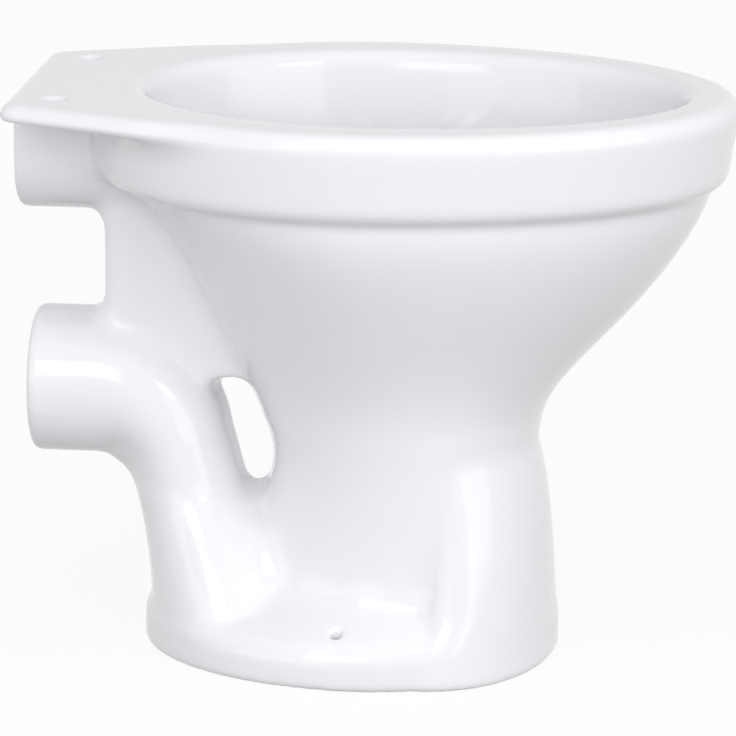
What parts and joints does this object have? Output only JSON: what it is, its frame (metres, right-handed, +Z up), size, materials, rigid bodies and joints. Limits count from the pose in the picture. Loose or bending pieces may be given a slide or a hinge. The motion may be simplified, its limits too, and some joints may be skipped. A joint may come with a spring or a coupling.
{
  "type": "floor-standing toilet pan",
  "caption": "Floor-standing washdown toilet pan of white glazed china with a box rim, oval bowl, trapway to a horizontal outlet, rear flush inlet and spread foot.",
  "frame": {"origin": "on the floor, half way along the overall length and on the pan's plane of symmetry", "axes": "+X across the pan, +Y from the front of the rim to the wall, +Z up"},
  "size_m": [0.362, 0.5, 0.4],
  "materials": {
    "china": "glossy white glaze"
  },
  "bodies": {
    "root": {"rim": "china", "bowl": "china", "trap_sump": "china", "outlet_bend": "china", "outlet_spigot": "china", "flush_inlet": "china", "flush_spreader": "china", "back_pillar": "china", "pedestal": "china", "fixing_lugs": "china"}
  },
  "joints": []
}
